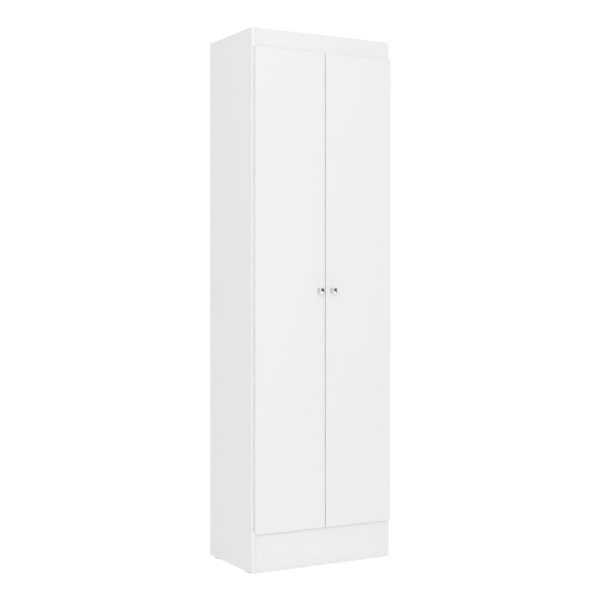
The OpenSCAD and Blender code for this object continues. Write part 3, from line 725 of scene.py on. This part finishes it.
def finish_board(cad_node, body, banded, bare, slot="white_board", faces=None, break_by=BREAK):
    """A board with broken edges, bands on the banded sides and chipboard on the bare ones."""
    low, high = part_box(cad_node)
    work = merged_copy(cad_node)
    long_edges = []
    for edge in work.edges:
        one, other = (sides_of(v.co, low, high) for v in edge.verts)
        if len(one & other) >= 2:
            long_edges.append(edge)
    bmesh.ops.bevel(work, geom=long_edges, offset=break_by, segments=2, profile=0.5, affect="EDGES",
                    clamp_overlap=True)
    for side in banded:
        axis = "xyz".index(side[1])
        start, inward = (low, 1) if side[0] == "-" else (high, -1)
        for depth in (BAND, BAND + GLUE):
            cut = Vector(start)
            cut[axis] += inward * depth
            normal = Vector((0, 0, 0))
            normal[axis] = 1
            everything = work.verts[:] + work.edges[:] + work.faces[:]
            bmesh.ops.bisect_plane(work, geom=everything, dist=1e-7, plane_co=cut, plane_no=normal)
    work.normal_update()
    for face in work.faces:
        face.material_index = board_material(face, low, high, banded, bare)
    materials = faces or [WHITE_FACE, CARCASS_BAND_PAINTED_HIGHLIGHT, GLUE_LINE, CHIPBOARD]
    return finished(work, cad_node + "_finished", materials, body, slot, cad_node)


def board_material(face, low, high, banded, bare):
    """Which of a board's materials a face shows."""
    middle = face.calc_center_median()
    lean = 1.2 * BREAK
    if all(low[a] + lean < middle[a] < high[a] - lean for a in range(3)):
        return CHIPS
    for side in banded:
        axis = "xyz".index(side[1])
        depth = middle[axis] - low[axis] if side[0] == "-" else high[axis] - middle[axis]
        if depth < BAND:
            return EDGE
        if depth < BAND + GLUE:
            return GLUED
    for side in bare:
        axis = "xyz".index(side[1])
        outward = -1 if side[0] == "-" else 1
        if face.normal[axis] * outward > 0.75:
            return CHIPS
    return SHEET


# %% [markdown]
# The side panels run to the floor and are banded along the front and the top. Their back and
# bottom edges stay bare, because nobody sees them. The shelves have one band, in front. The
# doors show all four edges, so they are banded all round.

# %% Carcass boards and shelves
for side in SIDES:
    finish_board(side + "_side_panel", "cabinet", ["-y", "+z"], ["+y", "-z"])
for board in (*SHELVES, "bottom_panel"):
    finish_board(board, "cabinet", ["-y"], ["+y", "-x", "+x"])
finish_board("top_panel", "cabinet", [], ["+y", "-y", "-x", "+x"])
finish_board("plinth_board", "cabinet", [], ["-x", "+x", "-z"], break_by=0.3 * MM)
finish_board("rear_plinth_rail", "cabinet", [], ["-x", "+x", "-z", "+z"])
finish_board("top_fascia", "cabinet", ["-z", "+z"], ["-x", "+x"], break_by=0.3 * MM)

# %% Doors
for side in SIDES:
    door = finish_board(side + "_door", side + "_door", ["-x", "+x", "-z", "+z"], [],
                        faces=[WHITE_FACE, DOOR_BAND, GLUE_LINE, CHIPBOARD], break_by=0.8 * MM)
    print(door.name, len(door.data.polygons), "faces")

# %% Back panels
for panel in ("lower_back_panel", "upper_back_panel"):
    low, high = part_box(panel)
    work = merged_copy(panel)
    work.normal_update()
    for face in work.faces:
        inner = face.normal.y < -0.75 and face.calc_center_median().y < low.y + 1e-5
        face.material_index = 0 if inner else 1
    finished(work, panel + "_finished", [WHITE_LACQUER, FIBRE_BACK], "cabinet", "white_hardboard",
             panel)


# %% [markdown]
# ## Knobs
#
# A knob is a small die-cast block: a foot slightly smaller than its face, rounded corners, and
# a face that is very slightly crowned. The crown matters more than its fraction of a millimetre
# suggests, because it makes the polished face mirror the dark of the room in its upper part and
# the bright floor in its lower part. The block is lofted from rounded rectangles, ring by ring.

# %% Loft a knob
def rounded_ring(width, height, corner, each=6):
    """Points of a rounded rectangle, corner by corner."""
    ring = []
    for quarter, (sx, sz) in enumerate(((1, 1), (-1, 1), (-1, -1), (1, -1))):
        for step in range(each + 1):
            turn = math.radians(90 * (quarter + step / each))
            ring.append((sx * (width / 2 - corner) + corner * math.cos(turn),
                         sz * (height / 2 - corner) + corner * math.sin(turn)))
    return ring


def loft(work, rings):
    """Skins a list of rings of vertices, and caps both ends."""
    made = [[work.verts.new(p) for p in ring] for ring in rings]
    for one, other in zip(made, made[1:]):
        for i in range(len(one)):
            j = (i + 1) % len(one)
            work.faces.new((one[i], one[j], other[j], other[i]))
    work.faces.new(made[0][::-1])
    work.faces.new(made[-1])
    bmesh.ops.recalc_face_normals(work, faces=work.faces)


def make_knob(side):
    low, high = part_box(side + "_knob")
    centre = (low + high) / 2
    width, out, height = high - low
    foot, inset, depth, crown = 1.6 * MM, 2.4 * MM, 1.15 * MM, 0.35 * MM
    shoulder = out - crown - depth
    sections = [(foot, 0.0), (foot * 0.95, 0.3 * MM), (foot * 0.5, out * 0.35), (0.0, out * 0.66),
                (0.0, shoulder - 0.15 * MM), (0.2 * MM, shoulder + 0.06 * MM),
                (2 * inset - 0.4 * MM, out - crown - 0.08 * MM)]
    for share in (1.0, 0.8, 0.6, 0.4, 0.2, 0.05):
        less = 2 * inset + (width - 2 * inset) * (1 - share)
        sections.append((less, out - crown * share * share))
    rings = []
    for less, forward in sections:
        on_face = max(0.0, less - 2 * inset) / (width - 2 * inset)
        w = width - less
        h = height - less if on_face == 0 else (height - 2 * inset) * (1 - on_face)
        corner = min(1.2 * MM, 0.45 * w)
        rings.append([(centre.x + x, high.y - forward, centre.z + z)
                      for x, z in rounded_ring(w, h, corner)])
    work = bmesh.new()
    loft(work, rings)
    return finished(work, side + "_knob_finished", [KNOB_METAL], side + "_door", "polished_nickel",
                    side + "_knob", flat_over=24)


for side in SIDES:
    knob = make_knob(side)
    print(knob.name, len(knob.data.vertices), "points")


# %% [markdown]
# ## Pressed and moulded fittings
#
# The hinge cups, arms and plates, the wall bracket and the glides keep their CAD shape. What a
# computer model lacks is the soft edge that a press or a mould leaves, and that edge is what
# catches the light. So each is copied, merged, and its sharp edges are rolled over.

# %% Roll the sharp edges
def rolled(cad_node, body, slot, material, radius, sharp=35):
    work = merged_copy(cad_node)
    edges = [e for e in work.edges if e.is_manifold and e.calc_face_angle(0) > math.radians(sharp)]
    bmesh.ops.bevel(work, geom=edges, offset=radius, segments=2, profile=0.6, affect="EDGES",
                    clamp_overlap=True)
    return finished(work, cad_node + "_finished", [material], body, slot, cad_node)


for side in SIDES:
    hinge_pieces = {"cup": (side + "_door", 0.25 * MM), "arm": ("cabinet", 0.35 * MM),
                    "plate": ("cabinet", 0.4 * MM)}
    for level in ("lower", "middle", "upper"):
        for piece, (body, radius) in hinge_pieces.items():
            rolled(f"{side}_{level}_hinge_{piece}", body, "nickel_plated_steel", HINGE_STEEL,
                   radius)
    for end in ("front", "rear"):
        rolled(f"{end}_{side}_glide", "cabinet", "white_plastic", GLIDE_PLASTIC, 0.5 * MM)
rolled("wall_bracket", "cabinet", "zinc_plated_steel", ZINC_PLATE, 0.4 * MM)


# %% Fittings that stay as the frame has them
def keep(cad_node, material):
    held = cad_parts[cad_node]
    held.data.materials.clear()
    held.data.materials.append(material)


keep("cam_bolts", ZINC_PLATE)
keep("cam_locks", CAST_ZINC)
keep("wood_dowels", BEECH)
for side in SIDES:
    keep(side + "_hinge_pins", NAIL_STEEL)
print("kept from the frame:", [n for n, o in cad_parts.items() if not o.hide_render])


# %% [markdown]
# ## Screws, nails and pins
#
# Dozens of small parts repeat: screws, nails, shelf pins. Their places are already in the CAD
# nodes, one island of mesh for each, so the script reads the islands and keeps one point for
# each. A Geometry Nodes tree then builds one part from its named sizes and puts a copy on
# every point. If the CAD moves a screw, the copy follows.

# %% Find the islands of a CAD node
def islands(cad_node):
    """(low, high) of each separate solid in a CAD node."""
    work = merged_copy(cad_node)
    left, boxes = set(work.verts), []
    while left:
        stack, group = [left.pop()], []
        while stack:
            vert = stack.pop()
            group.append(vert.co.copy())
            for edge in vert.link_edges:
                other = edge.other_vert(vert)
                if other in left:
                    left.remove(other)
                    stack.append(other)
        boxes.append((Vector(map(min, *group)), Vector(map(max, *group))))
    work.free()
    return sorted(boxes, key=lambda b: tuple(round(c, 4) for c in b[0]))


def seats(cad_node, outward, thickness):
    """(point, direction) under the head of each part; outward gives its direction from its box."""
    found = []
    for low, high in islands(cad_node):
        centre = (low + high) / 2
        way = outward(centre)
        tip = Vector(high[a] if way[a] > 0.5 else low[a] if way[a] < -0.5 else centre[a]
                     for a in range(3))
        found.append((tip - way * thickness, way))
    return found


def inward_x(centre):
    return Vector((1, 0, 0)) if centre.x < 0 else Vector((-1, 0, 0))


def to_back(_):
    return Vector((0, 1, 0))


def to_floor(_):
    return Vector((0, 0, -1))


# %% [markdown]
# A tree needs the same few steps whatever it builds: take the points, turn a part along each
# point's direction, spin it by a fixed random amount, make the copies real and give them their
# material. The part itself differs, so each tree builds its own between those steps. Small
# helpers take up what the parts share: a rod of named sizes, a shift, a join or a cut.

# %% A helper for geometry trees
def geometry_tree(name, sizes):
    """A new tree with a Geometry input, the named float inputs and a Material input."""
    tree = bpy.data.node_groups.new(name, "GeometryNodeTree")
    face = tree.interface
    face.new_socket(name="Geometry", in_out="INPUT", socket_type="NodeSocketGeometry")
    for label, value in sizes.items():
        socket = face.new_socket(name=label, in_out="INPUT", socket_type="NodeSocketFloat")
        socket.default_value = value
    face.new_socket(name="Material", in_out="INPUT", socket_type="NodeSocketMaterial")
    face.new_socket(name="Geometry", in_out="OUTPUT", socket_type="NodeSocketGeometry")
    return tree, node(tree, "NodeGroupInput"), node(tree, "NodeGroupOutput")


def sized(tree, kind, given, sockets, **settings):
    """A mesh node whose sockets take the tree's named sizes; returns its mesh."""
    made = node(tree, kind, **settings)
    for socket, label in sockets.items():
        wire(tree, given.outputs[label] if isinstance(label, str) else label, made.inputs[socket])
    return made.outputs["Mesh"]


def vector(tree, **amounts):
    """A vector from sockets named X, Y and Z."""
    made = node(tree, "ShaderNodeCombineXYZ")
    for axis, amount in amounts.items():
        wire(tree, amount, made.inputs[axis])
    return made.outputs[0]


def shifted(tree, mesh, **amounts):
    moved = node(tree, "GeometryNodeTransform")
    wire(tree, mesh, moved.inputs["Geometry"])
    wire(tree, vector(tree, **amounts), moved.inputs["Translation"])
    return moved.outputs[0]


def rod_below(tree, given, sides):
    """A plain rod of the Shank sizes that hangs from the part's origin."""
    rod = sized(tree, "GeometryNodeMeshCylinder", given,
                {"Radius": "Shank radius", "Depth": "Shank length"}, in_Vertices=sides)
    return shifted(tree, rod, Z=maths(tree, "MULTIPLY", given.outputs["Shank length"], -0.5))


def combined(tree, kind, socket, *meshes, **settings):
    """Joins or cuts meshes in one node; the last inputs all go into one socket."""
    made = node(tree, kind, **settings)
    for mesh in meshes:
        wire(tree, mesh, made.inputs[socket])
    return made


def direction(tree):
    way = node(tree, "GeometryNodeInputNamedAttribute", data_type="FLOAT_VECTOR")
    way.inputs["Name"].default_value = "way"
    return way.outputs["Attribute"]


def spun_along(tree, seed):
    """A turn along each point's direction, with a fixed random spin about it."""
    turned = node(tree, "FunctionNodeAlignRotationToVector", axis="Z")
    wire(tree, direction(tree), turned.inputs["Vector"])
    chance = node(tree, "FunctionNodeRandomValue", data_type="FLOAT")
    chance.inputs["Max"].default_value = math.pi
    chance.inputs["Seed"].default_value = seed
    amount = node(tree, "FunctionNodeEulerToRotation")
    wire(tree, vector(tree, Z=chance.outputs["Value"]), amount.inputs[0])
    both = node(tree, "FunctionNodeRotateRotation", rotation_space="LOCAL")
    wire(tree, turned.outputs[0], both.inputs["Rotation"])
    wire(tree, amount.outputs[0], both.inputs["Rotate By"])
    return both.outputs[0]


def place_copies(tree, given, gives, part, turn):
    """Copies of part on every point, turned, made real and given their material."""
    copies = node(tree, "GeometryNodeInstanceOnPoints")
    wire(tree, given.outputs["Geometry"], copies.inputs["Points"])
    wire(tree, part, copies.inputs["Instance"])
    wire(tree, turn, copies.inputs["Rotation"])
    real = node(tree, "GeometryNodeRealizeInstances")
    wire(tree, copies.outputs[0], real.inputs[0])
    dressed = node(tree, "GeometryNodeSetMaterial")
    wire(tree, real.outputs[0], dressed.inputs["Geometry"])
    wire(tree, given.outputs["Material"], dressed.inputs["Material"])
    wire(tree, dressed.outputs[0], gives.inputs[0])


# %% [markdown]
# ### The screw
#
# A pan head is a flattened ball: its flank is steep and its top nearly flat. A ball gives that
# shape when its height is put through a power curve. The cross recess is cut with two bars, and
# the shank is a plain rod, because the thread is hidden in the board.

# %% Build the screw tree
def screw_tree():
    sizes = {"Head radius": 3.6 * MM, "Head height": 1.6 * MM, "Recess width": 0.9 * MM,
             "Shank radius": 1.8 * MM, "Shank length": 8 * MM}
    tree, given, gives = geometry_tree("driven_screws", sizes)
    ball = node(tree, "GeometryNodeMeshUVSphere", in_Segments=20, in_Rings=10, in_Radius=1.0)
    spot = node(tree, "GeometryNodeInputPosition")
    parts = node(tree, "ShaderNodeSeparateXYZ")
    wire(tree, spot.outputs[0], parts.inputs[0])
    steep = maths(tree, "POWER", maths(tree, "ABSOLUTE", parts.outputs["Z"]), 0.55)
    signed = maths(tree, "MULTIPLY", maths(tree, "SIGN", parts.outputs["Z"]), steep)
    head = node(tree, "GeometryNodeSetPosition")
    wire(tree, ball.outputs["Mesh"], head.inputs["Geometry"])
    wire(tree, vector(tree, **{axis: maths(tree, "MULTIPLY", parts.outputs[axis],
                                           given.outputs["Head radius"]) for axis in "XY"},
                      Z=maths(tree, "MULTIPLY", signed, given.outputs["Head height"])),
         head.inputs["Position"])
    long = maths(tree, "MULTIPLY", given.outputs["Head radius"], 1.1)
    deep = maths(tree, "MULTIPLY", given.outputs["Head height"], 1.3)
    bars = []
    for first, second in (("X", "Y"), ("Y", "X")):
        size = vector(tree, **{first: long, second: given.outputs["Recess width"], "Z": deep})
        bar = sized(tree, "GeometryNodeMeshCube", given, {"Size": size})
        bars.append(shifted(tree, bar, Z=given.outputs["Head height"]))
    cut = combined(tree, "GeometryNodeMeshBoolean", "Mesh 2", *bars, operation="DIFFERENCE")
    wire(tree, head.outputs[0], cut.inputs["Mesh 1"])
    shank = rod_below(tree, given, 12)
    screw = combined(tree, "GeometryNodeJoinGeometry", 0, cut.outputs[0], shank)
    place_copies(tree, given, gives, screw.outputs[0], spun_along(tree, seed=7))
    return tree


SCREWS = screw_tree()


# %% [markdown]
# A tree works on an object through a modifier. The values go in by each socket's identifier,
# the evaluated result is copied into a plain mesh, and the modifier's object is thrown away.

# %% Run a tree on points
def grow(name, tree, found, values, material, body, slot, *replaced):
    """One plain mesh of a tree's result on the found points, riding on a body."""
    carrier = bpy.data.meshes.new(name + "_points")
    carrier.from_pydata([tuple(p) for p, _ in found], [], [])
    way = carrier.attributes.new("way", "FLOAT_VECTOR", "POINT")
    way.data.foreach_set("vector", [c for _, w in found for c in w])
    holder = bpy.data.objects.new(name + "_points", carrier)
    bpy.context.scene.collection.objects.link(holder)
    modifier = holder.modifiers.new("tree", "NODES")
    modifier.node_group = tree
    for item in tree.interface.items_tree:
        if item.in_out == "INPUT" and item.name in values:
            modifier[item.identifier] = values[item.name]
        elif item.in_out == "INPUT" and item.name == "Material":
            modifier[item.identifier] = material
    ready = holder.evaluated_get(bpy.context.evaluated_depsgraph_get())
    mesh = bpy.data.meshes.new_from_object(ready)
    mesh.name = name
    bpy.data.objects.remove(holder)
    made = bpy.data.objects.new(name, mesh)
    bpy.context.scene.collection.objects.link(made)
    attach(made, body)
    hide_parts(*replaced)
    print(name, len(found), "copies,", len(mesh.polygons), "faces")
    return made


def screw_sizes(head, height, recess, shank, length):
    return {"Head radius": head * MM, "Head height": height * MM, "Recess width": recess * MM,
            "Shank radius": shank * MM, "Shank length": length * MM}


# %% Drive the screws
SCREW_KINDS = [   # node, way out, body, slot, material, then head, height, recess, shank, length
    ("hinge_plate_screws", inward_x, "cabinet", "nickel_plated_steel", ZINC_PLATE,
     (3.8, 1.6, 0.9, 2.4, 11)),
    ("hinge_arm_screws", inward_x, "cabinet", "nickel_plated_steel", HINGE_STEEL,
     (3.1, 1.6, 0.9, 1.8, 8)),
    ("wall_bracket_screws", to_floor, "cabinet", "zinc_plated_steel", ZINC_PLATE,
     (3.4, 1.8, 0.8, 1.6, 12))]
for side in SIDES:
    SCREW_KINDS += [
        (side + "_cup_screws", to_back, side + "_door", "zinc_plated_steel", ZINC_PLATE,
         (3.2, 1.5, 0.8, 1.7, 9)),
        (side + "_knob_screw", to_back, side + "_door", "zinc_plated_steel", ZINC_PLATE,
         (4.0, 2.2, 1.0, 2.0, 26))]
for screws, outward, body, slot, material, given_sizes in SCREW_KINDS:
    found = seats(screws, outward, given_sizes[1] * MM)
    grow(screws + "_finished", SCREWS, found, screw_sizes(*given_sizes), material, body, slot,
         screws)


# %% [markdown]
# ### Nails
#
# A panel nail has a flat round head with a softened rim. The tree uses the same copying steps
# with a simpler part: a cone so blunt that it is nearly a disc, and a thin rod for the shank.

# %% Build and drive the nails
def nail_sizes(head, height, shank, length):
    return {"Head radius": head * MM, "Head height": height * MM,
            "Shank radius": shank * MM, "Shank length": length * MM}


PANEL_NAIL = nail_sizes(2, 1, 0.7, 17)
GLIDE_NAIL = nail_sizes(3, 1, 0.9, 18)


def nail_tree():
    tree, given, gives = geometry_tree("panel_nails", PANEL_NAIL)
    rim = maths(tree, "MULTIPLY", given.outputs["Head radius"], 0.86)
    head = sized(tree, "GeometryNodeMeshCone", given, {
        "Radius Top": rim, "Radius Bottom": "Head radius", "Depth": "Head height"}, in_Vertices=16)
    nail = combined(tree, "GeometryNodeJoinGeometry", 0, head, rod_below(tree, given, 8))
    place_copies(tree, given, gives, nail.outputs[0], spun_along(tree, seed=3))
    return tree


NAILS = nail_tree()
grow("back_panel_nails_finished", NAILS, seats("back_panel_nails", to_back, 1 * MM), PANEL_NAIL,
     NAIL_STEEL, "cabinet", "bright_nail_steel", "back_panel_nails")
grow("glide_nails_finished", NAILS, seats("glide_nails", to_floor, 1 * MM), GLIDE_NAIL,
     ZINC_PLATE, "cabinet", "zinc_plated_steel", "glide_nails")


# %% [markdown]
# ### Shelf pins
#
# A shelf pin is a steel peg with a collar and a flat on top where the shelf lies. Every
# adjustable shelf rests on four of them. Turned parts like these are a row of rods of
# different widths, so the tree sets two cylinders end to end along the pin, joins them into
# one solid and cuts the flat with a block.

# %% Build and set the shelf pins
PIN_SIZES = {"Peg radius": 2.45 * MM, "Peg length": 8.5 * MM, "Head radius": 3.6 * MM,
             "Head length": 8 * MM, "Flat height": 2.35 * MM}
PEG_IN_HEAD = 1 * MM


def shelf_pin_tree():
    tree, given, gives = geometry_tree("shelf_pins", PIN_SIZES)
    sizes = given.outputs
    whole = maths(tree, "ADD", sizes["Peg length"], PEG_IN_HEAD)
    peg = sized(tree, "GeometryNodeMeshCylinder", given,
                {"Radius": "Peg radius", "Depth": whole}, in_Vertices=20)
    spare = maths(tree, "SUBTRACT", sizes["Peg length"], PEG_IN_HEAD)
    driven = shifted(tree, peg, Z=maths(tree, "MULTIPLY", spare, -0.5))
    body = sized(tree, "GeometryNodeMeshCylinder", given,
                 {"Radius": "Head radius", "Depth": "Head length"}, in_Vertices=28)
    stands = shifted(tree, body, Z=maths(tree, "MULTIPLY", sizes["Head length"], 0.5))
    size = vector(tree, X=maths(tree, "MULTIPLY", sizes["Head radius"], 2.0),
                  Y=maths(tree, "MULTIPLY", sizes["Head radius"], 4.0),
                  Z=maths(tree, "MULTIPLY", sizes["Head length"], 4.0))
    block = sized(tree, "GeometryNodeMeshCube", given, {"Size": size})
    above = shifted(tree, block, X=maths(tree, "ADD", sizes["Head radius"], sizes["Flat height"]))
    cut = combined(tree, "GeometryNodeMeshBoolean", "Mesh 2", above, operation="DIFFERENCE")
    wire(tree, stands, cut.inputs["Mesh 1"])
    pin = combined(tree, "GeometryNodeMeshBoolean", "Mesh 2", driven, cut.outputs[0],
                   operation="UNION")
    # the flat must face up, so these copies are turned by their own rotation, not at random
    upright = node(tree, "FunctionNodeAxesToRotation", primary_axis="Z", secondary_axis="X")
    wire(tree, direction(tree), upright.inputs[0])
    upright.inputs[1].default_value = (0, 0, 1)
    place_copies(tree, given, gives, pin.outputs[0], upright.outputs[0])
    return tree


pin_spots = []
for low, high in islands("shelf_pins"):
    way = inward_x((low + high) / 2)
    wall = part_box("left_side_panel")[1].x if way.x > 0 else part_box("right_side_panel")[0].x
    axis_z = low.z + PIN_SIZES["Head radius"]
    pin_spots.append((Vector((wall, (low.y + high.y) / 2, axis_z)), way))
grow("shelf_pins_finished", shelf_pin_tree(), pin_spots, PIN_SIZES, ZINC_PLATE, "cabinet",
     "zinc_plated_steel", "shelf_pins")


# %% [markdown]
# ## Bumpers
#
# Small domes of clear rubber on the backs of the doors keep them from clapping. A dome is a
# turned shape, so its outline is drawn once and spun about its own axis.

# %% Turn the bumpers
def turned(work, outline, base, way, around=24):
    """Spins an outline of (radius, height) pairs about an axis that starts at base."""
    tilt = way.to_track_quat("Z", "Y").to_matrix().to_4x4()
    tilt.translation = base
    rings = []
    for radius, height in outline:
        rings.append([tilt @ Vector((radius * math.cos(2 * math.pi * k / around),
                                     radius * math.sin(2 * math.pi * k / around), height))
                      for k in range(around)])
    loft(work, rings)


for side in SIDES:
    work = bmesh.new()
    for low, high in islands(side + "_door_bumpers"):
        radius, tall = (high.x - low.x) / 2, high.y - low.y
        outline = [(radius, 0), (radius, 0.35 * tall)]
        for step in range(1, 7):
            turn = math.radians(90 * step / 6.4)
            outline.append((radius * math.cos(turn), tall * (0.35 + 0.65 * math.sin(turn))))
        outline[-1] = (outline[-1][0], tall)
        base = Vector(((low.x + high.x) / 2, low.y, (low.z + high.z) / 2))
        turned(work, outline, base, to_back(base))
    finished(work, side + "_door_bumpers_finished", [BUMPER_RUBBER], side + "_door", "clear_rubber",
             side + "_door_bumpers", flat_over=30)

# %% [markdown]
# ## Print the size and close
#
# The finish must not change the object's dimensions, so the box of all that is shown is printed at
# the end.

# %% Print the box of what is shown
low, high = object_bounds()
print("visual box", [round(v, 4) for v in (*low, *high)])
